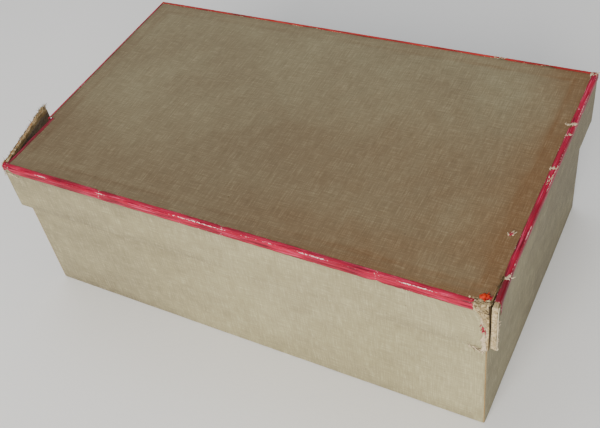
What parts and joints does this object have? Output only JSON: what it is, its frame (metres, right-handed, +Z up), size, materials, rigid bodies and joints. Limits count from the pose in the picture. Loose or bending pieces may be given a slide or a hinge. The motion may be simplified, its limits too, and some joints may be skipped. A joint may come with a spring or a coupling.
{
  "type": "boxed jigsaw puzzle",
  "caption": "Rigid cardboard box in linen-grained paper with a telescoping red-edged lid that lifts off, holding loose fretsawn wooden jigsaw pieces.",
  "frame": {"origin": "centre of the tray's underside, on the surface the box stands on", "axes": "+X along the long side towards the right end, +Y from the front to the back, +Z up"},
  "size_m": [0.2655, 0.1534, 0.0891],
  "materials": {
    "strawboard": "raw straw-coloured board, fibrous where torn",
    "linen_paper": "pale olive-cream paper with an embossed linen grain, aged",
    "lid_top_linen_paper": "the same paper, browned and stained by handling",
    "red_edging_paper": "crimson surface-dyed paper, scuffed to white",
    "gummed_paper": "brown gummed paper",
    "lining_paper": "plain off-white lining paper",
    "plywood": "fretsawn three-ply wood, printed paper on one face"
  },
  "bodies": {
    "tray": {"puzzle_pieces_1": "plywood", "puzzle_pieces_2": "plywood", "puzzle_pieces_3": "plywood", "puzzle_pieces_4": "plywood", "puzzle_pieces_5": "plywood", "puzzle_pieces_6": "plywood", "puzzle_pieces_7": "plywood", "puzzle_pieces_8": "plywood", "tray_back_board": "strawboard", "tray_bottom_paper": "linen_paper", "tray_corner_stays": "gummed_paper", "tray_floor_board": "strawboard", "tray_floor_lining": "lining_paper", "tray_front_board": "strawboard", "tray_left_board": "strawboard", "tray_right_board": "strawboard", "tray_wall_lining": "lining_paper", "tray_wrap": "linen_paper"},
    "lid": {"lid_back_board": "strawboard", "lid_back_edging": "red_edging_paper", "lid_back_wrap": "linen_paper", "lid_corner_stays": "gummed_paper", "lid_front_board": "strawboard", "lid_front_edging": "red_edging_paper", "lid_front_wrap": "linen_paper", "lid_left_board": "strawboard", "lid_left_edging": "red_edging_paper", "lid_left_flap_board": "strawboard", "lid_left_flap_edging": "red_edging_paper", "lid_left_flap_lining": "lining_paper", "lid_left_flap_wrap": "linen_paper", "lid_left_torn_edging": "red_edging_paper", "lid_left_wrap": "linen_paper", "lid_right_board": "strawboard", "lid_right_edging": "red_edging_paper", "lid_right_wrap": "linen_paper", "lid_side_linings": "lining_paper", "lid_top_board": "strawboard", "lid_top_lining": "lining_paper", "lid_top_paper": "lid_top_linen_paper"}
  },
  "joints": [
    {"name": "lid_lift", "type": "slide", "parent": "tray", "child": "lid", "axis": [0, 0, 1], "range_m": [0, 0.12]}
  ]
}
